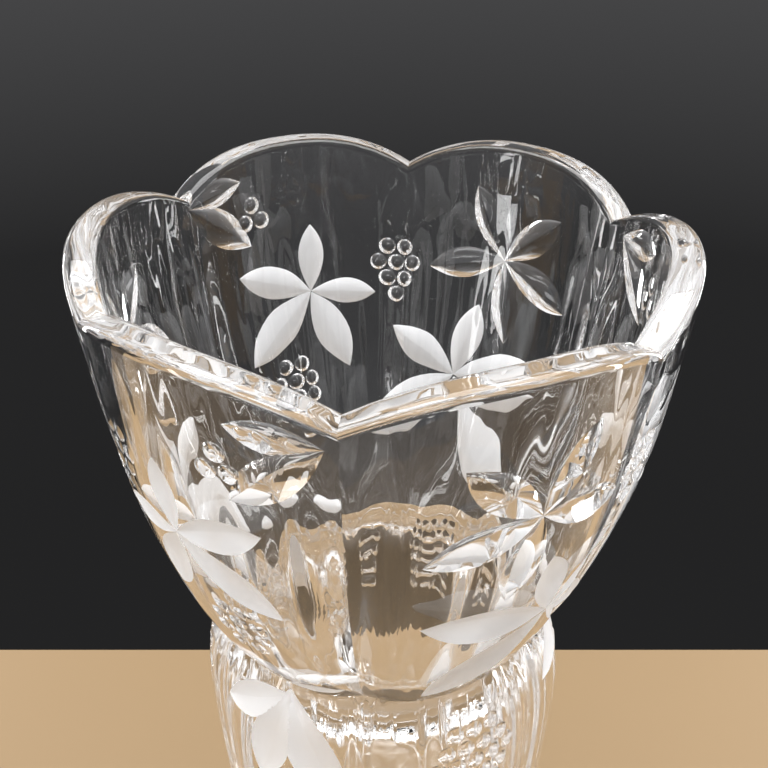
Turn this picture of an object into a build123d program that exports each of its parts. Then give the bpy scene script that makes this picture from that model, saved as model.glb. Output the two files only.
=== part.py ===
"""Scalloped crystal flower vase: a flared six-lobed bowl on a lobed barrel, cut with flowers and grapes.

Millimetres, +Z up, origin at the centre of the base. Azimuths are degrees about +Z from +X, and the
decoration repeats every 120 degrees. The bowl and the barrel are one casting divided at the waist, and
each frosted flower is the satin skin of its own mitre cuts, so the two finishes are separate solids.
"""

import os
from math import cos, degrees, hypot, radians, sin, sqrt, tan

from build123d import *

# Overall sizes
HEIGHT = 250.0
WAIST_HEIGHT = 135.0
NOTCH_HEIGHT = 240.7
FLOOR_HEIGHT = 16.0
LOBES = 6
LOBE_ANGLE = 360 / LOBES
LOBE_SHIFT = 4.0
REPEATS = 3
REPEAT_ANGLE = 360 / REPEATS

# Outlines as (radius, height), measured on the middle of a lobe
BOWL_OUTLINE = [(46.5, 135), (49.5, 139.5), (56, 151), (62, 166), (67, 182), (71, 199), (74, 220), (77, 252)]
SHOULDER = [(46.5, 135), (50.5, 128), (53.4, 117), (53.9, 108)]
BARREL_SIDE = [(53.9, 108), (52.6, 76), (50.5, 48), (48.2, 14)]
BASE_EDGE = (43.0, 0)
BASE_ROUNDING = 2.6
CAVITY_OUTLINE = [(28, 20), (32.5, 50), (36, 100), (39.5, 135), (47, 151), (53.2, 166), (58.5, 182),
                  (64.6, 211), (67.8, 241), (68.6, 256)]
CAVITY_FLOOR_RADIUS = 23.0

# Scalloped rim: how fast each arch falls to its notches, and the two radii between which it is cut
RIM_POWER = 2.4
RIM_CUT_RADII = (55, 85)

# How far working shapes reach beyond the vase, sideways and upward
REACH = 120.0
OVERSHOOT = 8.0

# Mitre cuts: every petal is as wide as this share of its length, and its wheel bites this share of it
PETAL_WIDTH = 0.39
PETAL_BITE = 0.032
PETAL_OVERRUN = 1.2
WHEEL_HALF_THICKNESS = 7.0
SATIN_DEPTH = 0.45

# Grapes: round punty cuts set out in rows
GRAPE_RADIUS = 3.4
GRAPE_DEPTH = 1.3
GRAPE_PITCH = 5.8
GRAPE_ROW_PITCH = 5.2

# Flowers: azimuth and height of the centre, then a bearing (clockwise from up) and a length for each petal
HIGH_FROSTED = (116, 200, [(357, 22), (69, 27), (129, 32), (203, 28), (265, 22)])
LOW_FROSTED = (74.5, 173, [(346, 26), (56, 27), (124, 32), (218, 44), (283, 36)])
HIGH_CLEAR = (64, 213, [(27, 25), (102, 26), (190, 27), (250, 28), (312, 26)])
RIM_CLEAR = (148, 236, [(231, 28), (278, 21)])
WAIST_FROSTED_ON_BOWL = (125, 138.5, [(72, 19), (286, 20)])
WAIST_FROSTED_ON_BARREL = (125, 132, [(152, 38), (193, 34), (238, 27)])

# Grape bunches: azimuth and height of the middle of the top row, then how many grapes each row has
BOWL_BUNCHES = [(93, 213.5, [2, 3, 2, 1]), (124, 177, [2, 3, 3, 2]), (130, 231, [1, 2])]
BARREL_BUNCHES = [(65, 124, [3, 4, 5, 4, 3, 2])]


def radius_at(outline, height):
    """Radius of an outline at a height, by straight steps between its points."""
    points = sorted(outline, key=lambda point: point[1])
    for (low_radius, low), (high_radius, high) in zip(points, points[1:]):
        if height <= high:
            break
    return low_radius + (high_radius - low_radius) * (height - low) / (high - low)


def wall_point(outline, azimuth, height):
    """Point on a lobed outer wall. Each lobe is a turned form whose axis stands off by LOBE_SHIFT."""
    off_lobe = radians((azimuth + LOBE_ANGLE / 2) % LOBE_ANGLE - LOBE_ANGLE / 2)
    turned = radius_at(outline, height) - LOBE_SHIFT
    radius = LOBE_SHIFT * cos(off_lobe) + sqrt(turned**2 - (LOBE_SHIFT * sin(off_lobe)) ** 2)
    return Vector(radius * cos(radians(azimuth)), radius * sin(radians(azimuth)), height)


def wall_normal(outline, azimuth, height):
    """Outward normal of a wall."""
    across = wall_point(outline, azimuth + 1, height) - wall_point(outline, azimuth - 1, height)
    upward = wall_point(outline, azimuth, height + 1) - wall_point(outline, azimuth, height - 1)
    return across.cross(upward).normalized()


def walk(outline, azimuth, height, bearing, distance):
    """Azimuth and height reached by going a distance along a wall on a bearing."""
    slope = radius_at(outline, height + 2) - radius_at(outline, height - 2)
    rise = distance * cos(radians(bearing)) / hypot(1, slope / 4)
    reached = height + rise
    mean_radius = radius_at(outline, height + rise / 2)
    return azimuth + degrees(distance * sin(radians(bearing)) / mean_radius), reached


def petal_cut(outline, azimuth, height, bearing, length, shallower, mode):
    """Puts one mitre wheel in the part being built, rolled in along a petal and raised by shallower."""
    start = walk(outline, azimuth, height, bearing, -PETAL_OVERRUN)
    end = walk(outline, azimuth, height, bearing, length)
    near, far = wall_point(outline, *start), wall_point(outline, *end)
    middle = wall_point(outline, (start[0] + end[0]) / 2, (start[1] + end[1]) / 2)
    along = (far - near).normalized()
    outward = wall_normal(outline, (start[0] + end[0]) / 2, (start[1] + end[1]) / 2)
    outward = (outward - along * outward.dot(along)).normalized()
    chord = (far - near).length
    bulge = (middle - (near + far) * 0.5).dot(outward)
    bite = PETAL_BITE * length
    wheel_radius = chord**2 / (8 * bite) + bite / 2
    centre = (near + far) * 0.5 + outward * (wheel_radius - bite)
    flare = PETAL_WIDTH * length / 2 / (bite + bulge)
    rim = wheel_radius - shallower
    shoulder = rim - WHEEL_HALF_THICKNESS / flare
    with BuildSketch(Plane(origin=centre, x_dir=outward * -1, z_dir=along)) as section:
        with BuildLine():
            Polyline(
                (0, -WHEEL_HALF_THICKNESS),
                (shoulder, -WHEEL_HALF_THICKNESS),
                (rim, 0),
                (shoulder, WHEEL_HALF_THICKNESS),
                (0, WHEEL_HALF_THICKNESS),
                close=True,
            )
        make_face()
    revolve(section.sketch, axis=Axis(centre, outward.cross(along)), mode=mode)


def flower_cuts(outline, flower, turn, shallower=0.0, mode=Mode.ADD):
    """Puts the wheels of one flower in the part being built, turned about the vase."""
    azimuth, height, petals = flower
    for bearing, length in petals:
        petal_cut(outline, azimuth + turn, height, bearing, length, shallower, mode)


def grape_centres(outline, bunch, turn):
    """Centres of the balls that hollow out one bunch of grapes."""
    azimuth, top, rows = bunch
    centres = []
    for row, count in enumerate(rows):
        height = top - row * GRAPE_ROW_PITCH
        step = degrees(GRAPE_PITCH / radius_at(outline, height))
        for place in range(count):
            around = azimuth + turn + (place - (count - 1) / 2) * step
            outward = wall_normal(outline, around, height)
            centres.append(wall_point(outline, around, height) + outward * (GRAPE_RADIUS - GRAPE_DEPTH))
    return centres


def rim_height(share):
    """Height of the scalloped rim, at a share of the half lobe from its middle."""
    return NOTCH_HEIGHT + (HEIGHT - NOTCH_HEIGHT) * (1 - abs(share) ** RIM_POWER)


def lobe_section(outline_lines):
    """Turns a closed outline into one lobe, about that lobe's own axis."""
    with BuildSketch(Plane.XZ) as section:
        with BuildLine():
            outline_lines()
        make_face()
    revolve(section.sketch, axis=Axis((LOBE_SHIFT, 0, 0), (0, 0, 1)))


def bowl_lines():
    """Outline of the bowl as a solid, from the waist to above the rim."""
    side = Spline(*BOWL_OUTLINE)
    Polyline(side @ 1, (LOBE_SHIFT, side.end_point().Y), (LOBE_SHIFT, WAIST_HEIGHT), side @ 0)


def barrel_lines():
    """Outline of the barrel as a solid, from the base to the waist."""
    shoulder = Spline(*SHOULDER, tangents=[(1, -1.1), (0, -1)])
    side = Spline(*BARREL_SIDE, tangents=[(0, -1), (-0.12, -1)])
    foot = SagittaArc(side @ 1, BASE_EDGE, BASE_ROUNDING)
    Polyline(foot @ 1, (LOBE_SHIFT, 0), (LOBE_SHIFT, WAIST_HEIGHT), shoulder @ 0)


# One sixth of the plan, which each lobe is trimmed to
HALF_LOBE = radians(LOBE_ANGLE / 2)
with BuildPart() as sector:
    with BuildSketch(Plane.XY):
        with BuildLine():
            Polyline((0, 0), (REACH, -REACH * tan(HALF_LOBE)), (REACH, REACH * tan(HALF_LOBE)), close=True)
        make_face()
    extrude(amount=HEIGHT + OVERSHOOT)

with BuildPart() as bowl_lobe:
    lobe_section(bowl_lines)
    add(sector.part, mode=Mode.INTERSECT)

with BuildPart() as barrel_lobe:
    lobe_section(barrel_lines)
    add(sector.part, mode=Mode.INTERSECT)

# What stands above one lobe's arch
with BuildPart() as rim_cutter:
    for radius in RIM_CUT_RADII:
        with BuildSketch(Plane.YZ.offset(radius)):
            with BuildLine():
                shares = (-1, -0.8, -0.5, 0, 0.5, 0.8, 1)
                arch = Spline(*[(radius * tan(share * HALF_LOBE), rim_height(share)) for share in shares])
                left = arch @ 0
                right = arch @ 1
                Polyline(right, (right.X, HEIGHT + OVERSHOOT), (left.X, HEIGHT + OVERSHOOT), left)
            make_face()
    loft(ruled=True)

with BuildPart() as cavity:
    with BuildSketch(Plane.XZ):
        with BuildLine():
            side = Spline(*CAVITY_OUTLINE)
            corner = TangentArc(side @ 0, (CAVITY_FLOOR_RADIUS, FLOOR_HEIGHT), tangent=(side % 0) * -1)
            Polyline(corner @ 1, (0, FLOOR_HEIGHT), (0, side.end_point().Y), side @ 1)
        make_face()
    revolve(axis=Axis.Z)

with BuildPart() as plain_bowl:
    with PolarLocations(0, LOBES):
        add(bowl_lobe.part)
    add(cavity.part, mode=Mode.SUBTRACT)
    with PolarLocations(0, LOBES):
        add(rim_cutter.part, mode=Mode.SUBTRACT)

with BuildPart() as plain_barrel:
    with PolarLocations(0, LOBES):
        add(barrel_lobe.part)
    add(cavity.part, mode=Mode.SUBTRACT)

TURNS = [repeat * REPEAT_ANGLE for repeat in range(REPEATS)]
BARREL_OUTLINE = SHOULDER[:-1] + BARREL_SIDE

# Satin skins: the deep wheel cuts keep a thin layer of frosted glass in place over the clear wall
frosted_flowers = {}
for number, turn in enumerate(TURNS, start=1):
    for name, flower in (("high", HIGH_FROSTED), ("low", LOW_FROSTED)):
        with BuildPart() as frosted_flower:
            flower_cuts(BOWL_OUTLINE, flower, turn)
            add(plain_bowl.part, mode=Mode.INTERSECT)
            flower_cuts(BOWL_OUTLINE, flower, turn, SATIN_DEPTH, Mode.SUBTRACT)
        frosted_flowers[f"frosted_flower_{name}_{number}"] = frosted_flower
    with BuildPart() as petals_on_bowl:
        flower_cuts(BOWL_OUTLINE, WAIST_FROSTED_ON_BOWL, turn)
        add(plain_bowl.part, mode=Mode.INTERSECT)
        flower_cuts(BOWL_OUTLINE, WAIST_FROSTED_ON_BOWL, turn, SATIN_DEPTH, Mode.SUBTRACT)
    with BuildPart() as petals_on_barrel:
        flower_cuts(BARREL_OUTLINE, WAIST_FROSTED_ON_BARREL, turn)
        add(plain_barrel.part, mode=Mode.INTERSECT)
        flower_cuts(BARREL_OUTLINE, WAIST_FROSTED_ON_BARREL, turn, SATIN_DEPTH, Mode.SUBTRACT)
    with BuildPart() as frosted_flower:
        add([*petals_on_bowl.part.solids(), *petals_on_barrel.part.solids()])
    frosted_flowers[f"frosted_flower_waist_{number}"] = frosted_flower

with BuildPart() as bowl_wheels:
    for turn in TURNS:
        for flower in (HIGH_FROSTED, LOW_FROSTED, HIGH_CLEAR, RIM_CLEAR, WAIST_FROSTED_ON_BOWL):
            flower_cuts(BOWL_OUTLINE, flower, turn)

with BuildPart() as barrel_wheels:
    for turn in TURNS:
        flower_cuts(BARREL_OUTLINE, WAIST_FROSTED_ON_BARREL, turn)

with BuildPart() as bowl:
    add(plain_bowl.part)
    add(bowl_wheels.part, mode=Mode.SUBTRACT)
    for bunch in BOWL_BUNCHES:
        for turn in TURNS:
            with Locations(*grape_centres(BOWL_OUTLINE, bunch, turn)):
                Sphere(GRAPE_RADIUS, mode=Mode.SUBTRACT)

with BuildPart() as barrel:
    add(plain_barrel.part)
    add(barrel_wheels.part, mode=Mode.SUBTRACT)
    for bunch in BARREL_BUNCHES:
        for turn in TURNS:
            with Locations(*grape_centres(BARREL_OUTLINE, bunch, turn)):
                Sphere(GRAPE_RADIUS, mode=Mode.SUBTRACT)

os.makedirs("parts", exist_ok=True)
bowl.part.label = "bowl"
export_step(bowl.part, "parts/bowl.step")
barrel.part.label = "barrel"
export_step(barrel.part, "parts/barrel.step")
for name, frosted_flower in frosted_flowers.items():
    frosted_flower.part.label = name
    export_step(frosted_flower.part, f"parts/{name}.step")
    print(name, round(frosted_flower.part.volume, 1), "mm3 in", len(frosted_flower.part.solids()), "solids")
print("bowl", round(bowl.part.volume), "barrel", round(barrel.part.volume))
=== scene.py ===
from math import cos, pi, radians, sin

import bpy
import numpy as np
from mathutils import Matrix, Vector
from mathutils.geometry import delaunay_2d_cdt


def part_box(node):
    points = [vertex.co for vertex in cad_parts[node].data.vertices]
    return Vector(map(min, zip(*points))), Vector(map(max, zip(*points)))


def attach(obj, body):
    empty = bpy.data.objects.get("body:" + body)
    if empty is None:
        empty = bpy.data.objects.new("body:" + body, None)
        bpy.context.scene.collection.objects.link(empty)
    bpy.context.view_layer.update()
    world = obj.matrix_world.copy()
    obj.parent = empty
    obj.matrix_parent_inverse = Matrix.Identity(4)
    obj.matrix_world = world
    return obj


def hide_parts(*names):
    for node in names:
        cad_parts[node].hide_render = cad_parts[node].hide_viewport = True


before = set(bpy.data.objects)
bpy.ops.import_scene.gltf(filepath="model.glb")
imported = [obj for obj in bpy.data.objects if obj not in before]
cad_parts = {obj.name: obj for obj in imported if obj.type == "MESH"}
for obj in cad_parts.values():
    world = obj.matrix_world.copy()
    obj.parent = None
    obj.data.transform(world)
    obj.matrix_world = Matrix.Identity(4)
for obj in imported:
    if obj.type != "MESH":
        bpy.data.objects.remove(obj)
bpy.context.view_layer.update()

# Looks of the scalloped crystal vase.
#
# The glass is one piece, so its surface is worked out as one closed skin in millimetres and shared out to the
# named pieces: bowl, barrel and the frosted flowers. They meet inside the glass on faces that bend no light.
# Azimuths are degrees about +Z from +X. The lobes repeat every 60 degrees and the decoration every 120.

MM = 0.001

# ---------------------------------------------------------------- sizes, in millimetres and degrees
HEIGHT = round(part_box("bowl")[1][2] / MM, 3)
WAIST = round(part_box("barrel")[1][2] / MM, 3)
NOTCH = HEIGHT - 9.3
FLOOR = 16.0
FLOOR_CORNER = 6.0
LOBES = 6
LOBE_ANGLE = 360 / LOBES
REPEATS = 3

# How far each lobe's axis stands off the vase's, and how much more it does low on the bowl
LOBE_SHIFT = 4.0
LOW_LOBE_SHIFT = 3.0
LOW_LOBES_END = 225.0

# The cavity is round up to the first height and follows the lobes from the second
INNER_LOBES = (190.0, 240.0)

# Soft grooves where lobes meet. The reach is the angle over which they fade, and at the rim a share is lost.
GROOVE_DEPTH = 1.7
GROOVE_REACH = 6.0
RIM_GROOVE_LOSS = 0.6

# Shallow ripples beside the grooves, and (step, height) of those on the inner wall
RIPPLE = 0.17
RIPPLE_STEP = 7.5
RIPPLE_REACH = 14.0
INNER_RIPPLES = [(10, 0.12), (15, 0.16)]

# Heights between which grooves and ripples come up from the base and ripples fade out under the rim
RELIEF_RISE = (0.0, 40.0)
RELIEF_FADE = (215.0, 240.0)
INNER_RISE = (FLOOR + FLOOR_CORNER, 60.0)
INNER_FADE = (195.0, 235.0)

# Scalloped rim and its rounded section
RIM_POWER = 2.4
CAP_HEIGHT = 2.6
CAP_POWER = 3.0

# Rounded foot, ground ring and shallow dish
BASE_ROUNDING = 14.0
BASE_INSET = 5.2
BASE_RING = 6.0
BASE_DISH = 0.8
DISH_SLOPE_SHARE = 1 / 6

# Outlines as (height, radius) on the middle of a lobe
BOWL_OUTLINE = [(WAIST, 46.5), (139.5, 49.5), (151, 56), (166, 62), (182, 67), (199, 71), (220, 74),
                (252, 77)]
BARREL_OUTLINE = [(BASE_ROUNDING, 48.2), (48, 50.5), (76, 52.6), (98, 53.8), (108, 53.9), (117, 53.2),
                  (128, 50.3), (WAIST, 46.5)]
CAVITY_OUTLINE = [(22, 28.5), (50, 32.5), (100, 36), (WAIST, 39.5), (151, 47), (166, 53.2), (182, 58.5),
                  (211, 64.6), (241, 67.8), (256, 68.6)]

# Petals: width over length, keel depth over half width, and how hollow the flanks are
PETAL_WIDTH = 0.39
FROSTED_STEEPNESS, CLEAR_STEEPNESS = 0.34, 0.5
FROSTED_HOLLOW, CLEAR_HOLLOW = 0.8, 0.5
PETAL_BREADTH, PETAL_TIP_GAIN = 0.82, 0.33
SATIN_DEPTH = 0.4
SATIN_SHARE = 0.8

# Grapes: round hollows in rows
GRAPE_RADIUS = 3.4
GRAPE_DEPTH = 1.3
GRAPE_PITCH = 5.8
GRAPE_ROW_PITCH = 5.2

# Flowers: name, frosted or not, azimuth and height of the centre, then bearing and length of each petal
FLOWERS = [
    ("high", True, 116, 200, [(357, 22), (69, 27), (129, 32), (203, 29), (265, 22)]),
    ("low", True, 74.5, 173, [(346, 26), (56, 27), (124, 32), (218, 44), (283, 36)]),
    ("waist", True, 125, 138.5, [(72, 19), (286, 20)]),
    ("clear", False, 64, 213, [(27, 25), (102, 26), (190, 27), (250, 28), (312, 26)]),
    ("clear", False, 148, 236, [(231, 28), (278, 21)]),
]
BARREL_FLOWERS = [("waist", True, 125, 132, [(152, 38), (193, 34), (238, 27)])]

# Grape bunches: azimuth and height of the middle of the top row, then how many grapes each row has
BOWL_BUNCHES = [(93, 213.5, [2, 3, 2, 1]), (124, 177, [2, 3, 3, 2]), (130, 231, [1, 2])]
BARREL_BUNCHES = [(65, 124, [3, 4, 5, 4, 3, 2])]

# Mesh fineness: columns in a lobe, rows, and the pitch and gaps of the points on a decorated wall
COLUMNS = 48
CAP_ROWS = 33
FOOT_ROWS = 15
FLAT_ROWS = 13
RING_ROWS = 5
WAIST_ROWS = 9
RIM_ROWS = 12
INNER_BOWL_ROWS = 56
INNER_BARREL_ROWS = 58
PLAIN_BARREL_ROWS = 31
GRID_STEP = 1.5
CREASE_GAP = 0.3
EDGE_GAP = 0.6
FEATURE_GAP = 0.75
OUTLINE_SAMPLE = 0.4
GAP_BATCH = 500
PETAL_POINTS = 17
FLANK_POINTS = 16
FLANK_SPAN = (0.06, 0.94)
FLANK_LINES = (-0.85, -0.6, -0.3, 0.3, 0.6, 0.85)
GRAPE_EDGE_POINTS = 22
GRAPE_RINGS = [(0.72, 14), (0.4, 8)]
SLIVER = 1e-5
TINY = 1e-4
LEAST_SQUARE = 0.01
NORMAL_STEP = 0.02
MERGE_DECIMALS = 4

# The barrel is plain up to DECORATED_FROM. The cavity's rows follow the scallops above CAVITY_LEVEL and are
# level below it.
DECORATED_FROM = 60.0
CAVITY_LEVEL = 225.0

# One decorated sector covers lobes 1 and 2. A wall is planned flat, as if its radius were the same all over.
SECTOR = (LOBE_ANGLE / 2, LOBE_ANGLE / 2 + 360 / REPEATS)
SECTOR_LOBES = (1, 2)
FLAT_RADIUS = 60
FLAT_SCALE = radians(FLAT_RADIUS)

LOBE_COLUMNS = np.linspace(-LOBE_ANGLE / 2, LOBE_ANGLE / 2, COLUMNS + 1)

# ---------------------------------------------------------------- the stage, in metres, watts and degrees
CAMERA_PLACE = (27.2 * MM, -235.3 * MM, (NOTCH + 111.5) * MM)
CAMERA_TURN = 6.496
CAMERA_TILT = 31.816
CAMERA_LENS, CAMERA_SENSOR = 49.24, 36
CAMERA_NEAR = 0.01

TABLE_HALF_WIDTH, TABLE_FRONT, TABLE_BACK = 1.2, 0.32, 0.103

# Soft lights: name, place, width, length and watts; each looks at the middle of the rim
VASE_TOP = HEIGHT * MM
SOFT_LIGHTS = [
    ("ceiling", (0.0, 0.25, 1.3), 1.3, 0.7, 16),
    ("front_high", (-0.25, -1.1, 1.25), 0.9, 0.5, 7),
]

# Upright strips round the vase, for edge highlights: name, azimuth and watts
STRIP_REACH, STRIP_HEIGHT = 0.5, 0.2
STRIP_WIDTH, STRIP_LENGTH = 0.04, 0.34
STRIPS = [
    ("right_strip", 0, 0.65),
    ("left_strip", 152, 0.65),
    ("back_strip", 45, 0.65),
    ("front_strip", 215, 0.4),
]

# Grey levels of the room, each at a place on the way from straight down to straight up, or from front to
# back, and how much stronger blue is than red and green
ROOM_UPWARD = [(0.20, 0.017), (0.30, 0.020), (0.40, 0.058), (0.50, 0.08), (0.62, 0.3), (0.8, 0.5)]
ROOM_FORWARD = [(0.25, 0.20), (0.45, 0.13), (0.62, 0.0)]
ROOM_BLUE = 1.03


# ---------------------------------------------------------------- curves and surfaces
def smooth_curve(points):
    """A natural cubic through (x, y) points, as a function of x."""
    x, y = np.array(points, float).T
    n = len(x)
    h = np.diff(x)
    a = np.eye(n)
    b = np.zeros(n)
    for i in range(1, n - 1):
        a[i, i - 1 : i + 2] = h[i - 1], 2 * (h[i - 1] + h[i]), h[i]
        b[i] = 6 * ((y[i + 1] - y[i]) / h[i] - (y[i] - y[i - 1]) / h[i - 1])
    m = np.linalg.solve(a, b)

    def curve(at):
        at = np.asarray(at, float)
        i = np.clip(np.searchsorted(x, at) - 1, 0, n - 2)
        left, right = at - x[i], x[i + 1] - at
        return (
            (m[i] * right**3 + m[i + 1] * left**3) / (6 * h[i])
            + (y[i] / h[i] - m[i] * h[i] / 6) * right
            + (y[i + 1] / h[i] - m[i + 1] * h[i] / 6) * left
        )

    return curve


bowl_radius = smooth_curve(BOWL_OUTLINE)
barrel_radius = smooth_curve(BARREL_OUTLINE)
cavity_radius = smooth_curve(CAVITY_OUTLINE)


def slope_at(outline, height):
    """How fast the radius grows with height."""
    return float(outline(height + 1) - outline(height - 1)) / 2


def polar(azimuth, radius, height):
    """Points from cylindrical coordinates, azimuth in degrees."""
    around = np.radians(azimuth)
    return np.stack(np.broadcast_arrays(radius * np.cos(around), radius * np.sin(around), height), -1)


def eased(value, start, end):
    """0 before start, 1 after end, and a smooth step between."""
    share = np.clip((np.asarray(value, float) - start) / (end - start), 0, 1)
    return share * share * (3 - 2 * share)


def stood_off(radius, shift, from_middle):
    """Radius about the vase's axis of a circle whose own axis stands off by shift."""
    off = np.radians(from_middle)
    return shift * np.cos(off) + np.sqrt((radius - shift) ** 2 - (shift * np.sin(off)) ** 2)


def lobed(outline, azimuth, height, lobe):
    """Outer radius: each lobe is turned about an axis that stands off, and soft grooves part the lobes."""
    shift = LOBE_SHIFT + LOW_LOBE_SHIFT * (1 - eased(height, WAIST, LOW_LOBES_END))
    from_middle = azimuth - lobe * LOBE_ANGLE
    from_crease = LOBE_ANGLE / 2 - np.abs(from_middle)
    groove = GROOVE_DEPTH * np.exp(-from_crease / GROOVE_REACH)
    wave = 1 - np.cos(2 * pi * from_crease / RIPPLE_STEP)
    ripple = RIPPLE * wave * np.exp(-from_crease / RIPPLE_REACH)
    near_rim = eased(height, *RELIEF_FADE)
    relief = groove * (1 - RIM_GROOVE_LOSS * near_rim) + ripple * (1 - near_rim)
    return stood_off(outline(height), shift, from_middle) - relief * eased(height, *RELIEF_RISE)


def inner_radius(azimuth, height):
    """Radius of the cavity in lobe 0: round low down, and following the lobes near the rim."""
    shift = LOBE_SHIFT * eased(height, *INNER_LOBES)
    waves = sum(rise * np.cos(2 * pi * azimuth / step) for step, rise in INNER_RIPPLES)
    relief = waves * eased(height, *INNER_RISE) * (1 - eased(height, *INNER_FADE))
    return stood_off(cavity_radius(height), shift, azimuth) + relief


def rim_height(azimuth, lobe):
    """Top of the scalloped rim."""
    share = np.abs(azimuth - lobe * LOBE_ANGLE) / (LOBE_ANGLE / 2)
    return NOTCH + (HEIGHT - NOTCH) * (1 - share**RIM_POWER)


def cap_edge(azimuth, lobe):
    """Height at which the walls turn over into the rounded rim."""
    return rim_height(azimuth, lobe) - CAP_HEIGHT


def unit(vectors):
    return vectors / np.linalg.norm(vectors, axis=-1, keepdims=True)


def surface_normal(surface, azimuth, height):
    """Outward normal of a surface given as a function of azimuth and height."""
    across = surface(azimuth + NORMAL_STEP, height) - surface(azimuth - NORMAL_STEP, height)
    upward = surface(azimuth, height + NORMAL_STEP) - surface(azimuth, height - NORMAL_STEP)
    return unit(np.cross(across, upward))


# ---------------------------------------------------------------- cuts
class Petal:
    """One mitre cut: two hollow flanks that fall steeply from a pointed outline and gently to a keel."""

    def __init__(self, outline, azimuth, height, bearing, length, flower, frosted):
        self.flower, self.frosted, self.length, self.start = flower, frosted, length, (azimuth, height)
        self.half_width = PETAL_WIDTH * length / 2
        self.depth = (FROSTED_STEEPNESS if frosted else CLEAR_STEEPNESS) * self.half_width
        self.hollow = FROSTED_HOLLOW if frosted else CLEAR_HOLLOW
        self.heading = radians(bearing)
        rise = length / 2 * cos(self.heading) / np.hypot(1, slope_at(outline, height))
        self.height = height + rise
        self.radius = float(outline(self.height))
        self.azimuth = azimuth + np.degrees(length / 2 * sin(self.heading) / self.radius)
        self.stretch = np.hypot(1, slope_at(outline, self.height))

    def local(self, azimuth, height):
        """Share of the way along the petal, and distance across it in half widths."""
        x = np.radians(azimuth - self.azimuth) * self.radius
        y = (height - self.height) * self.stretch
        along = x * sin(self.heading) + y * cos(self.heading)
        across = x * cos(self.heading) - y * sin(self.heading)
        return along / self.length + 0.5, across / self.half_width

    def place(self, share, across):
        """Azimuth and height of a point given in the petal's own terms."""
        along, aside = (share - 0.5) * self.length, across * self.half_width
        x = along * sin(self.heading) + aside * cos(self.heading)
        y = along * cos(self.heading) - aside * sin(self.heading)
        return self.azimuth + np.degrees(x / self.radius), self.height + y / self.stretch

    @staticmethod
    def breadth(share):
        """Half width of the outline along the petal: a little fuller towards the tip."""
        return 4 * share * (1 - share) * (PETAL_BREADTH + PETAL_TIP_GAIN * np.clip(share, 0, 1))

    def depth_at(self, azimuth, height, side):
        """Depth of the flank on one side, below zero outside the outline."""
        share, across = self.local(azimuth, height)
        breadth = self.breadth(share)
        inside = breadth > TINY
        aside = side * across / np.where(inside, breadth, 1)
        flank = breadth * (1 - aside) * (1 + self.hollow * aside)
        return self.depth * np.where(inside, flank, breadth - np.abs(across))

    def outlines(self):
        """The two edges and the keel, as lists of points."""
        shares = (1 - np.cos(np.linspace(0, pi, PETAL_POINTS))) / 2
        lines = [self.place(shares, side * self.breadth(shares)) for side in (-1, 0, 1)]
        return [[self.start] + list(zip(*np.array(line)[:, 1:-1])) + [self.place(1, 0)] for line in lines]

    def inner_points(self):
        """Points on the flanks that carry their curve."""
        shares = np.linspace(*FLANK_SPAN, FLANK_POINTS)
        rows = [self.place(shares, aside * self.breadth(shares)) for aside in FLANK_LINES]
        return [point for row in rows for point in zip(*row)]


class Grape:
    """One round punty cut: a shallow spherical hollow."""

    flower, frosted = None, False

    def __init__(self, outline, azimuth, height):
        self.azimuth, self.height = azimuth, height
        self.radius = float(outline(height))
        self.stretch = np.hypot(1, slope_at(outline, height))
        self.mouth = np.sqrt(GRAPE_RADIUS**2 - (GRAPE_RADIUS - GRAPE_DEPTH) ** 2)

    def depth_at(self, azimuth, height, side):
        """Depth of the hollow, the same on both sides, and below zero outside its mouth."""
        x = np.radians(azimuth - self.azimuth) * self.radius
        y = (height - self.height) * self.stretch
        squared = np.clip(GRAPE_RADIUS**2 - x**2 - y**2, LEAST_SQUARE, None)
        return np.sqrt(squared) - (GRAPE_RADIUS - GRAPE_DEPTH)

    def ring(self, share, count):
        """A closed ring of points at a share of the mouth's radius."""
        turns = np.arange(count) * 2 * pi / count
        x, y = share * self.mouth * np.cos(turns), share * self.mouth * np.sin(turns)
        points = list(zip(self.azimuth + np.degrees(x / self.radius), self.height + y / self.stretch))
        return points + points[:1]

    def outlines(self):
        return [self.ring(1.0, GRAPE_EDGE_POINTS)]

    def inner_points(self):
        """Points in the hollow that carry its curve."""
        rings = [point for share, count in GRAPE_RINGS for point in self.ring(share, count)[:-1]]
        return rings + [(self.azimuth, self.height)]


def cuts_on(outline, flowers, bunches):
    """Every cut in one decorated sector of a wall."""
    cuts = []
    for name, frosted, azimuth, height, petals in flowers:
        for bearing, length in petals:
            cuts.append(Petal(outline, azimuth, height, bearing, length, name, frosted))
    for azimuth, top, rows in bunches:
        for row, count in enumerate(rows):
            height = top - row * GRAPE_ROW_PITCH
            step = np.degrees(GRAPE_PITCH / float(outline(height)))
            cuts += [Grape(outline, azimuth + (i - (count - 1) / 2) * step, height) for i in range(count)]
    return cuts


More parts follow.
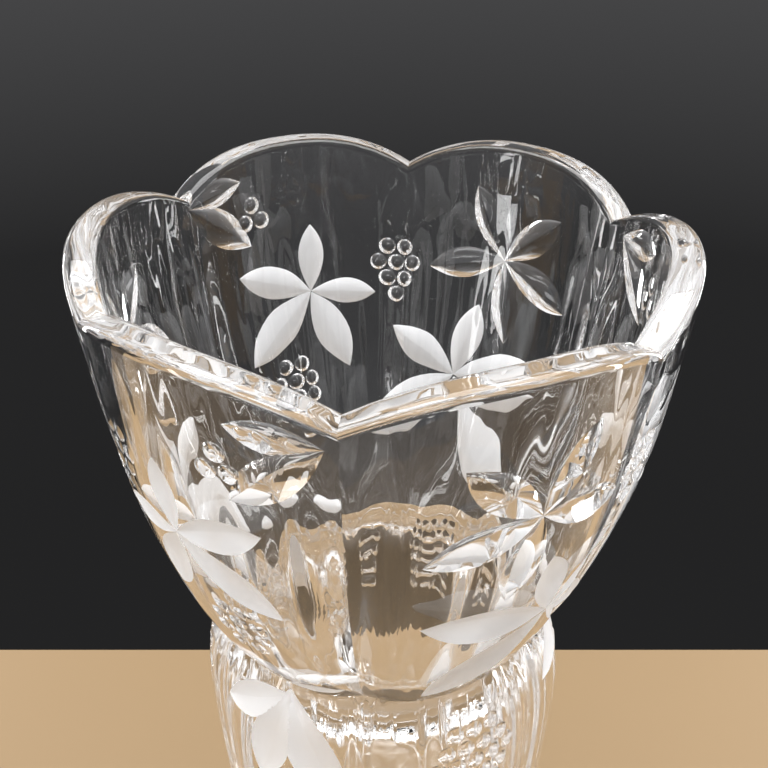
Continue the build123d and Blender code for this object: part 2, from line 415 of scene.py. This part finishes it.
# ---------------------------------------------------------------- skins
class Skin:
    """Faces with a normal at every corner and a tag on every face. A # in a tag becomes the copy's number."""

    def __init__(self):
        self.groups = []

    def add(self, points, faces, normals, tags):
        """points (n, 3); faces (m, k) indexes into them; normals (m, k, 3); tags (m,) of text."""
        self.groups.append((points, np.asarray(faces), normals, list(tags)))
        return self

    def turned(self, times):
        """This skin with its copies, turned evenly about the axis."""
        whole = Skin()
        for turn in range(times):
            angle = 2 * pi * turn / times
            spin = np.array([[cos(angle), sin(angle), 0], [-sin(angle), cos(angle), 0], [0, 0, 1]])
            for points, faces, normals, tags in self.groups:
                numbered = [tag.replace("#", str(turn + 1)) for tag in tags]
                whole.add(points @ spin, faces, normals @ spin, numbered)
        return whole

    def picked(self, wanted):
        """Only the faces whose tag is wanted."""
        part = Skin()
        for points, faces, normals, tags in self.groups:
            keep = np.array([tag in wanted for tag in tags], bool)
            if keep.any():
                part.add(points, faces[keep], normals[keep], np.array(tags)[keep])
        return part


def joined(*skins):
    """One skin with the faces of several."""
    whole = Skin()
    for skin in skins:
        whole.groups += skin.groups
    return whole


def strip(rows, normals, tag):
    """A skin from a grid of points (rows, columns, 3) with a normal at each."""
    high, wide = rows.shape[:2]
    index = np.arange(high * wide).reshape(high, wide)
    faces = np.stack([index[:-1, :-1], index[:-1, 1:], index[1:, 1:], index[1:, :-1]], -1).reshape(-1, 4)
    flat = normals.reshape(-1, 3)
    return Skin().add(rows.reshape(-1, 3), faces, flat[faces], [tag] * len(faces))


def round_strip(radii, heights, outward, upward, tag="clear"):
    """Six lobes of a surface, from its radii and heights and the outward and upward parts of its normals."""
    rows = polar(LOBE_COLUMNS, radii, heights)
    normals = np.broadcast_to(polar(LOBE_COLUMNS, outward, upward), rows.shape)
    return strip(rows, normals, tag).turned(LOBES)


def shares_down(rows):
    """Shares from 0 to 1, as a column."""
    return np.linspace(0, 1, rows)[:, None]


def quarter_turn(rows):
    """Angles from 0 to a quarter turn, as a column."""
    return np.linspace(0, pi / 2, rows)[:, None]


def wall_strip(outline, heights):
    """Six lobes of a plain stretch of outer wall."""
    def surface(azimuth, height):
        return polar(azimuth, lobed(outline, azimuth, height, 0), height)

    azimuth, height = np.meshgrid(LOBE_COLUMNS, heights)
    return strip(surface(azimuth, height), surface_normal(surface, azimuth, height), "clear").turned(LOBES)


def cavity_wall(heights):
    """Inner wall down a list of heights; a list entry may be a function of azimuth."""
    def surface(azimuth, height):
        return polar(azimuth, inner_radius(azimuth, height), height)

    height = np.array([h(LOBE_COLUMNS) if callable(h) else np.full_like(LOBE_COLUMNS, h) for h in heights])
    azimuth = np.broadcast_to(LOBE_COLUMNS, height.shape)
    return strip(surface(azimuth, height), -surface_normal(surface, azimuth, height), "clear").turned(LOBES)


def blended(top, bottom, count):
    """Heights that run from the scalloped edge down to a level."""
    def level(share):
        return lambda azimuth: top(azimuth) * (1 - share) + bottom * share

    return [level(i / count) for i in range(count + 1)]


def rim_cap():
    """The polished rim: a flattened oval section that follows the scallops."""
    def oval(turn):
        aside = np.sign(np.cos(turn)) * np.abs(np.cos(turn)) ** (2 / CAP_POWER)
        return aside, np.abs(np.sin(turn)) ** (2 / CAP_POWER)

    def section(azimuth, turn):
        edge = cap_edge(azimuth, 0)
        outer, inner = lobed(bowl_radius, azimuth, edge, 0), inner_radius(azimuth, edge)
        aside, above = oval(turn)
        radius = (outer + inner) / 2 + (outer - inner) / 2 * aside
        return polar(azimuth, radius, edge + CAP_HEIGHT * above)

    azimuth, turn = np.meshgrid(LOBE_COLUMNS, (1 - np.cos(np.linspace(0, pi, CAP_ROWS))) * pi / 2)
    edge = cap_edge(azimuth, 0)
    half = (lobed(bowl_radius, azimuth, edge, 0) - inner_radius(azimuth, edge)) / 2
    aside, above = oval(turn)
    outward = np.sign(aside) * np.abs(aside) ** (CAP_POWER - 1) / half
    upward = above ** (CAP_POWER - 1) / CAP_HEIGHT
    lift = unit(np.stack([outward, upward], -1))
    tangent = polar(azimuth, -lift[..., 1], lift[..., 0])
    along = section(azimuth + NORMAL_STEP, turn) - section(azimuth - NORMAL_STEP, turn)
    return strip(section(azimuth, turn), unit(np.cross(along, tangent)), "rim").turned(LOBES)


def annulus(up):
    """The flat face inside the glass where the bowl meets the barrel; up is 1 or -1."""
    outer, inner = lobed(bowl_radius, LOBE_COLUMNS, WAIST, 0), inner_radius(LOBE_COLUMNS, WAIST)
    return round_strip(outer + (inner - outer) * shares_down(WAIST_ROWS), WAIST, 0.0, up, "joint")


def base_skin():
    """Rounded foot, ground ring and shallow dish under the vase."""
    quarter = quarter_turn(FOOT_ROWS)
    wall = lobed(barrel_radius, LOBE_COLUMNS, BASE_ROUNDING, 0)
    radii = wall - BASE_INSET + BASE_INSET * np.cos(quarter)
    lift = unit(np.stack([np.cos(quarter) / BASE_INSET, -np.sin(quarter) / BASE_ROUNDING], -1))
    foot = round_strip(radii, BASE_ROUNDING - BASE_ROUNDING * np.sin(quarter), lift[..., 0], lift[..., 1])
    ring = round_strip(radii[-1] - BASE_RING * shares_down(RING_ROWS), 0.0, 0.0, -1.0)
    shares = shares_down(FLAT_ROWS)
    depth = BASE_DISH * np.sin(np.minimum(shares / DISH_SLOPE_SHARE, 1) * pi / 2) ** 2
    dish = round_strip((radii[-1] - BASE_RING) * (1 - shares), depth, 0.0, -1.0)
    return joined(foot, ring, dish)


def floor_skin():
    """Rounded corner and flat floor of the cavity."""
    start = float(cavity_radius(FLOOR + FLOOR_CORNER))
    quarter = quarter_turn(FLAT_ROWS)
    radii = start - FLOOR_CORNER + FLOOR_CORNER * np.cos(quarter)
    heights = FLOOR + FLOOR_CORNER * (1 - np.sin(quarter))
    corner = round_strip(radii, heights, -np.cos(quarter), np.sin(quarter))
    flat = round_strip((start - FLOOR_CORNER) * (1 - shares_down(FLAT_ROWS)), FLOOR, 0.0, 1.0)
    return joined(corner, flat)


# ---------------------------------------------------------------- decorated walls
def polyline_samples(lines):
    """Points all along some polylines, in flat millimetres."""
    samples = []
    for line in lines:
        line = np.array(line) * (FLAT_SCALE, 1)
        for a, b in zip(line[:-1], line[1:]):
            count = max(2, int(np.linalg.norm(b - a) / OUTLINE_SAMPLE) + 1)
            samples.append(a + (b - a) * np.linspace(0, 1, count)[:, None])
    return np.concatenate(samples)


def plan_points(bottom, top, cuts):
    """Points and edges of one sector of wall, in azimuth and height, for the triangulation."""
    columns = np.linspace(*SECTOR, 2 * COLUMNS + 1)
    tops = top(columns)
    sides = np.linspace(bottom, tops[0], int((tops[0] - bottom) / GRID_STEP) + 1)
    crease = (SECTOR[0] + SECTOR[1]) / 2
    crease_top = top(np.array([crease]))[0]
    lines = [line for cut in cuts for line in cut.outlines()]
    near = polyline_samples(lines)
    points, edges = [], []

    def chain(line):
        start = len(points)
        points.extend(line)
        edges.extend((start + i, start + i + 1) for i in range(len(line) - 1))

    def clear_of_cuts(at):
        flat = np.array(at) * (FLAT_SCALE, 1)
        free = np.ones(len(flat), bool)
        for start in range(0, len(flat), GAP_BATCH):
            batch = slice(start, start + GAP_BATCH)
            free[batch] = np.linalg.norm(flat[batch, None] - near[None], axis=-1).min(1) > FEATURE_GAP
        return free

    chain([(c, bottom) for c in columns])
    chain(list(zip(columns, tops)))
    chain([(SECTOR[0], z) for z in sides])
    chain([(SECTOR[1], z) for z in sides])
    middle = [(crease, z) for z in sides if bottom < z < crease_top]
    chain([(crease, bottom)] + middle + [(crease, crease_top)])
    for line in lines:
        chain([tuple(p) for p in line])
    grid = []
    step = columns[1] - columns[0]
    height, row = bottom + GRID_STEP, 0
    while height < tops.max():
        at = columns[1:-1] if row % 2 else columns[:-1] + step / 2
        grid += [(c, height) for c in at if abs(c - crease) > CREASE_GAP * step]
        height, row = height + GRID_STEP, row + 1
    grid = np.array(grid)
    grid = grid[grid[:, 1] < top(grid[:, 0]) - EDGE_GAP * GRID_STEP]
    points += [tuple(p) for p in grid[clear_of_cuts(grid)]]
    points += [point for cut in cuts for point in cut.inner_points()]
    return points, edges


def triangulated(bottom, top, cuts):
    """Azimuths and heights of one sector of wall, and its triangles."""
    points, edges = plan_points(bottom, top, cuts)
    flat = [Vector((azimuth * FLAT_SCALE, height)) for azimuth, height in points]
    found = delaunay_2d_cdt(flat, edges, [], 0, SLIVER)
    azimuth, height = (np.array([tuple(v) for v in found[0]]) / (FLAT_SCALE, 1)).T
    # The triangulation works in single precision, so points that went in come back out as they were.
    for new, old in enumerate(found[3]):
        if old:
            azimuth[new], height[new] = points[old[0]]
    faces = np.array(found[2])
    middle = azimuth[faces].mean(1), height[faces].mean(1)
    keep = (middle[1] < top(middle[0]) + TINY) & (middle[1] > bottom)
    a, b, c = (np.stack([azimuth[faces[:, i]] * FLAT_SCALE, height[faces[:, i]]], -1) for i in range(3))
    keep &= np.abs(np.cross(b - a, c - a)) > SLIVER
    return azimuth, height, faces[keep]


def cut_depths(cuts, azimuth, height):
    """Depth of both sides of every cut, as (cuts, sides, points)."""
    return np.array([[cut.depth_at(azimuth, height, side) for side in (-1, 1)] for cut in cuts])


def decorated_wall(outline, bottom, top, cuts):
    """Outer wall with its cuts, as three skins: the clear body, the frosted flowers, and their linings."""
    azimuth, height, faces = triangulated(bottom, top, cuts)
    middle = azimuth[faces].mean(1), height[faces].mean(1)
    depth = np.clip(cut_depths(cuts, azimuth, height).min(1).max(0), 0, None)
    face_depths = cut_depths(cuts, *middle)
    deepest = face_depths.min(1)
    cut_of = np.where(deepest.max(0) > 0, deepest.argmax(0), -1)
    lobe_of = np.clip(np.round(middle[0] / LOBE_ANGLE), *SECTOR_LOBES)

    def wall(at_azimuth, at_height, lobe):
        return polar(at_azimuth, lobed(outline, at_azimuth, at_height, lobe), at_height)

    def wall_normal(at_azimuth, at_height, lobe):
        return surface_normal(lambda u, v: wall(u, v, lobe), at_azimuth, at_height)

    own_lobe = np.clip(np.round(azimuth / LOBE_ANGLE), *SECTOR_LOBES)
    base, out = wall(azimuth, height, own_lobe), wall_normal(azimuth, height, own_lobe)
    placed = base - out * depth[:, None]
    normals = wall_normal(azimuth[faces], height[faces], lobe_of[:, None])
    tags = np.array(["clear"] * len(faces), dtype="<U16")
    for number, cut in enumerate(cuts):
        chosen = np.where(cut_of == number)[0]
        if not len(chosen):
            continue
        side = np.where(face_depths[number, 0, chosen] > face_depths[number, 1, chosen], 1, -1)
        lobe = lobe_of[chosen][:, None]

        def flank(u, v):
            return wall(u, v, lobe) - wall_normal(u, v, lobe) * cut.depth_at(u, v, side[:, None])[..., None]

        normals[chosen] = surface_normal(flank, azimuth[faces[chosen]], height[faces[chosen]])
        if cut.frosted:
            tags[chosen] = cut.flower + "_#"

    # A frosted skin thins to nothing at its outline. A face with no inner point stays with the clear wall.
    edge = np.zeros(len(azimuth), bool)
    edge[faces[tags == "clear"].ravel()] = True
    flat_ears = edge[faces].all(1)
    tags[flat_ears] = "clear"
    edge[faces[flat_ears].ravel()] = True
    thickness = np.where(edge, 0, np.minimum(SATIN_DEPTH, SATIN_SHARE * depth))
    lined = placed - out * thickness[:, None]
    frosted = tags != "clear"
    body = Skin().add(lined, faces, normals, np.where(frosted, "joint", "clear"))
    flowers = Skin().add(placed, faces[frosted], normals[frosted], tags[frosted])
    linings = Skin().add(lined, faces[frosted][:, ::-1], -normals[frosted][:, ::-1], tags[frosted])
    return body.turned(REPEATS), flowers.turned(REPEATS), linings.turned(REPEATS)


def sector_edge(azimuth):
    """The rim's edge over the decorated sector."""
    return cap_edge(azimuth, np.clip(np.round(azimuth / LOBE_ANGLE), *SECTOR_LOBES))


def waist_level(azimuth):
    return np.full_like(azimuth, WAIST)


# ---------------------------------------------------------------- pieces
def gathered(skins):
    """Points, polygons, corner normals, material slots and materials of some skins, all facing out."""
    materials, points, polygons, normals, slots = [], [], [], [], []
    offset = 0
    for skin, material_of in skins:
        for group_points, faces, group_normals, tags in skin.groups:
            for tag in sorted(set(tags)):
                if material_of(tag) not in materials:
                    materials.append(material_of(tag))
            corners = group_points[faces]
            facing = np.cross(corners[:, 2] - corners[:, 0], corners[:, -1] - corners[:, 1])
            if faces.shape[1] == 3:
                facing = np.cross(corners[:, 1] - corners[:, 0], corners[:, 2] - corners[:, 0])
            if (facing * group_normals.sum(1)).sum() < 0:
                faces, group_normals = faces[:, ::-1], group_normals[:, ::-1]
            points.append(group_points)
            polygons += list(faces + offset)
            normals += list(group_normals)
            slots += [materials.index(material_of(tag)) for tag in tags]
            offset += len(group_points)
    return np.concatenate(points), polygons, normals, slots, materials


def merged_polygons(points, polygons, normals, slots):
    """The same with equal points made one, and without the faces that this closes up."""
    rounded = np.round(points, MERGE_DECIMALS)
    _, first, merged = np.unique(rounded, axis=0, return_index=True, return_inverse=True)
    points, merged = points[first], merged.ravel()
    kept = []
    for polygon, polygon_normals, slot in zip(polygons, normals, slots):
        ring = merged[polygon]
        order = [i for i in range(len(ring)) if ring[i] != ring[i - 1]]
        if len(order) > 2:
            kept.append((ring[order], polygon_normals[order], slot))
    polygons, normals, slots = zip(*kept)
    used = np.unique(np.concatenate(polygons))
    renumber = np.full(len(points), -1)
    renumber[used] = np.arange(len(used))
    return points[used], [[int(renumber[i]) for i in p] for p in polygons], normals, slots


def make_piece(name, skins, node_names):
    """Joins skins into one closed mesh object. Each skin comes with the material its tags stand for."""
    points, polygons, normals, slots, materials = gathered(skins)
    points, polygons, normals, slots = merged_polygons(points, polygons, normals, slots)
    mesh = bpy.data.meshes.new(name)
    mesh.from_pydata((points * MM).tolist(), [], polygons)
    for material in materials:
        mesh.materials.append(material)
    mesh.polygons.foreach_set("material_index", np.array(slots, dtype=np.int32))
    mesh.polygons.foreach_set("use_smooth", np.ones(len(polygons), dtype=bool))
    mesh.normals_split_custom_set(np.concatenate(normals).tolist())
    mesh.update()
    piece = bpy.data.objects.new(name, mesh)
    bpy.context.scene.collection.objects.link(piece)
    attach(piece, "root")
    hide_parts(*node_names)


# ---------------------------------------------------------------- materials
def set_sockets(node, values):
    for socket, value in values.items():
        node.inputs[socket].default_value = value


def node_material(name, values):
    """A material with one Principled shader, whose sockets have the given values."""
    material = bpy.data.materials.new(name)
    material.use_nodes = True
    nodes, links = material.node_tree.nodes, material.node_tree.links
    nodes.clear()
    output = nodes.new("ShaderNodeOutputMaterial")
    shader = nodes.new("ShaderNodeBsdfPrincipled")
    set_sockets(shader, values)
    links.new(shader.outputs[0], output.inputs["Surface"])
    return material, shader, output


def clear_crystal(name, waviness):
    """Clear crystal: polished, with a very slight waviness that runs up the wall."""
    glass = {"Base Color": (1.0, 1.0, 1.0, 1), "Roughness": 0.0, "IOR": 1.545, "Transmission Weight": 1.0}
    material, shader, output = node_material(name, glass)
    nodes, links = material.node_tree.nodes, material.node_tree.links
    coordinates = nodes.new("ShaderNodeTexCoord")
    stretch = nodes.new("ShaderNodeMapping")
    set_sockets(stretch, {"Scale": (1, 1, 0.22)})
    wave = nodes.new("ShaderNodeTexNoise")
    set_sockets(wave, {"Scale": 75, "Detail": 1.5})
    bump = nodes.new("ShaderNodeBump")
    set_sockets(bump, {"Strength": waviness, "Distance": 0.001})
    links.new(coordinates.outputs["Object"], stretch.inputs["Vector"])
    links.new(stretch.outputs["Vector"], wave.inputs["Vector"])
    links.new(wave.outputs["Fac"], bump.inputs["Height"])
    links.new(bump.outputs["Normal"], shader.inputs["Normal"])
    let_light_through(nodes, links, shader, output)
    return material


def let_light_through(nodes, links, shader, output):
    """Lets shadow and diffuse rays straight through the glass, in place of noisy caustics."""
    path = nodes.new("ShaderNodeLightPath")
    either = nodes.new("ShaderNodeMath")
    either.operation = "MAXIMUM"
    clear = nodes.new("ShaderNodeBsdfTransparent")
    set_sockets(clear, {"Color": (0.93, 0.93, 0.93, 1)})
    mix = nodes.new("ShaderNodeMixShader")
    links.new(path.outputs["Is Shadow Ray"], either.inputs[0])
    links.new(path.outputs["Is Diffuse Ray"], either.inputs[1])
    links.new(either.outputs[0], mix.inputs[0])
    links.new(shader.outputs[0], mix.inputs[1])
    links.new(clear.outputs[0], mix.inputs[2])
    links.new(mix.outputs[0], output.inputs["Surface"])


def frosted_crystal():
    """Satin cut glass: fine grey-white grain that scatters light."""
    satin = {"Base Color": (0.985, 0.99, 0.995, 1), "IOR": 1.52, "Transmission Weight": 0.3}
    material, shader, _ = node_material("frosted_crystal", satin)
    nodes, links = material.node_tree.nodes, material.node_tree.links
    coordinates = nodes.new("ShaderNodeTexCoord")
    grain = nodes.new("ShaderNodeTexNoise")
    set_sockets(grain, {"Scale": 2500, "Detail": 2.0})
    cloud = nodes.new("ShaderNodeTexNoise")
    set_sockets(cloud, {"Scale": 120})
    roughness = nodes.new("ShaderNodeMapRange")
    set_sockets(roughness, {"To Min": 0.42, "To Max": 0.62})
    bump = nodes.new("ShaderNodeBump")
    set_sockets(bump, {"Strength": 0.25, "Distance": 0.0001})
    links.new(coordinates.outputs["Object"], grain.inputs["Vector"])
    links.new(coordinates.outputs["Object"], cloud.inputs["Vector"])
    links.new(cloud.outputs["Fac"], roughness.inputs["Value"])
    links.new(roughness.outputs[0], shader.inputs["Roughness"])
    links.new(grain.outputs["Fac"], bump.inputs["Height"])
    links.new(bump.outputs["Normal"], shader.inputs["Normal"])
    return material


# ---------------------------------------------------------------- stage, lights and camera
def stage_floor():
    """A plain table whose back edge is close behind the vase, with the dark of the room beyond."""
    tan_top = {"Base Color": (0.31, 0.205, 0.102, 1), "Roughness": 0.6}
    width, front, back = TABLE_HALF_WIDTH, TABLE_FRONT, TABLE_BACK
    corners = [(-width, -front, 0), (width, -front, 0), (width, back, 0), (-width, back, 0)]
    mesh = bpy.data.meshes.new("table")
    mesh.from_pydata(corners, [], [(0, 1, 2, 3)])
    mesh.materials.append(node_material("pale_table", tan_top)[0])
    table = bpy.data.objects.new("table", mesh)
    table.rotation_euler = (0, 0, radians(CAMERA_TURN))
    bpy.context.scene.collection.objects.link(table)


def place_camera():
    lens = bpy.data.cameras.new("camera")
    lens.lens, lens.sensor_width = CAMERA_LENS, CAMERA_SENSOR
    lens.clip_start = CAMERA_NEAR
    camera = bpy.data.objects.new("camera", lens)
    camera.location = CAMERA_PLACE
    camera.rotation_euler = (radians(90 - CAMERA_TILT), 0, radians(CAMERA_TURN))
    bpy.context.scene.collection.objects.link(camera)
    bpy.context.scene.camera = camera


def area_light(name, place, target, width, length, watts):
    light = bpy.data.lights.new(name, "AREA")
    light.shape, light.size, light.size_y, light.energy = "RECTANGLE", width, length, watts
    lamp = bpy.data.objects.new(name, light)
    lamp.location = place
    lamp.rotation_euler = (Vector(target) - Vector(place)).to_track_quat("-Z", "Y").to_euler()
    bpy.context.scene.collection.objects.link(lamp)


def light_vase():
    for name, place, width, length, watts in SOFT_LIGHTS:
        area_light(name, place, (0, 0, VASE_TOP), width, length, watts)
    for name, azimuth, watts in STRIPS:
        place = (STRIP_REACH * cos(radians(azimuth)), STRIP_REACH * sin(radians(azimuth)), STRIP_HEIGHT)
        area_light(name, place, (0, 0, STRIP_HEIGHT), STRIP_WIDTH, STRIP_LENGTH, watts)


def light_room():
    """A dark room that is lighter overhead and behind the camera."""
    world = bpy.data.worlds.new("dark_room")
    bpy.context.scene.world = world
    world.use_nodes = True
    nodes, links = world.node_tree.nodes, world.node_tree.links
    direction = nodes.new("ShaderNodeTexCoord")
    split = nodes.new("ShaderNodeSeparateXYZ")
    links.new(direction.outputs["Generated"], split.inputs[0])

    def brightness_by(axis, stops):
        """Grey levels against one part of the direction, which runs from -1 to 1."""
        share = nodes.new("ShaderNodeMapRange")
        set_sockets(share, {"From Min": -1, "From Max": 1})
        ramp = nodes.new("ShaderNodeValToRGB")
        while len(ramp.color_ramp.elements) < len(stops):
            ramp.color_ramp.elements.new(1.0)
        for element, (place, level) in zip(ramp.color_ramp.elements, stops):
            element.position, element.color = place, (level, level, ROOM_BLUE * level, 1)
        links.new(split.outputs[axis], share.inputs["Value"])
        links.new(share.outputs[0], ramp.inputs[0])
        return ramp.outputs["Color"]

    both = nodes.new("ShaderNodeMix")
    both.data_type, both.blend_type = "RGBA", "ADD"
    both.inputs["Factor"].default_value = 1
    links.new(brightness_by("Z", ROOM_UPWARD), both.inputs["A"])
    links.new(brightness_by("Y", ROOM_FORWARD), both.inputs["B"])
    links.new(both.outputs["Result"], nodes["Background"].inputs["Color"])


def set_light_paths():
    """Enough bounces for a ray to cross both walls of the vase, with no caustics."""
    bpy.context.scene.view_settings.view_transform = "Standard"
    settings = bpy.context.scene.cycles
    settings.max_bounces = 32
    settings.transmission_bounces = 32
    settings.glossy_bounces = 16
    settings.transparent_max_bounces = 64
    settings.caustics_refractive = False
    settings.caustics_reflective = False
    settings.sample_clamp_indirect = 10
    settings.use_denoising = True


# ---------------------------------------------------------------- making
CLEAR, RIM = clear_crystal("clear_crystal", 0.45), clear_crystal("polished_rim", 0.08)
FROSTED = frosted_crystal()
INSIDE = node_material("inside_glass", {"Alpha": 0.0})[0]
WALL_MATERIAL = {"clear": CLEAR, "rim": RIM, "joint": INSIDE}.get

bowl_cuts = cuts_on(bowl_radius, FLOWERS, BOWL_BUNCHES)
barrel_cuts = cuts_on(barrel_radius, BARREL_FLOWERS, BARREL_BUNCHES)
bowl_wall, bowl_flowers, bowl_linings = decorated_wall(bowl_radius, WAIST, sector_edge, bowl_cuts)
barrel_wall, barrel_flowers, barrel_linings = decorated_wall(
    barrel_radius, DECORATED_FROM, waist_level, barrel_cuts
)
inner_bowl = joined(
    cavity_wall(blended(lambda azimuth: cap_edge(azimuth, 0), CAVITY_LEVEL, RIM_ROWS)),
    cavity_wall(np.linspace(CAVITY_LEVEL, WAIST, INNER_BOWL_ROWS)),
)
inner_barrel = cavity_wall(np.linspace(WAIST, FLOOR + FLOOR_CORNER, INNER_BARREL_ROWS))
plain_barrel = wall_strip(barrel_radius, np.linspace(BASE_ROUNDING, DECORATED_FROM, PLAIN_BARREL_ROWS))

bowl_skins = (bowl_wall, rim_cap(), inner_bowl, annulus(-1.0))
barrel_skins = (barrel_wall, plain_barrel, base_skin(), floor_skin(), inner_barrel, annulus(1.0))
make_piece("crystal_bowl", [(skin, WALL_MATERIAL) for skin in bowl_skins], ["bowl"])
make_piece("crystal_barrel", [(skin, WALL_MATERIAL) for skin in barrel_skins], ["barrel"])
for kind in ("high", "low", "waist"):
    for number in range(1, REPEATS + 1):
        flower = f"{kind}_{number}"
        faces = [(skin.picked([flower]), lambda tag: FROSTED) for skin in (bowl_flowers, barrel_flowers)]
        faces += [(skin.picked([flower]), lambda tag: INSIDE) for skin in (bowl_linings, barrel_linings)]
        make_piece(f"satin_flower_{flower}", faces, [f"frosted_flower_{flower}"])

place_camera()
stage_floor()
light_vase()
light_room()
set_light_paths()
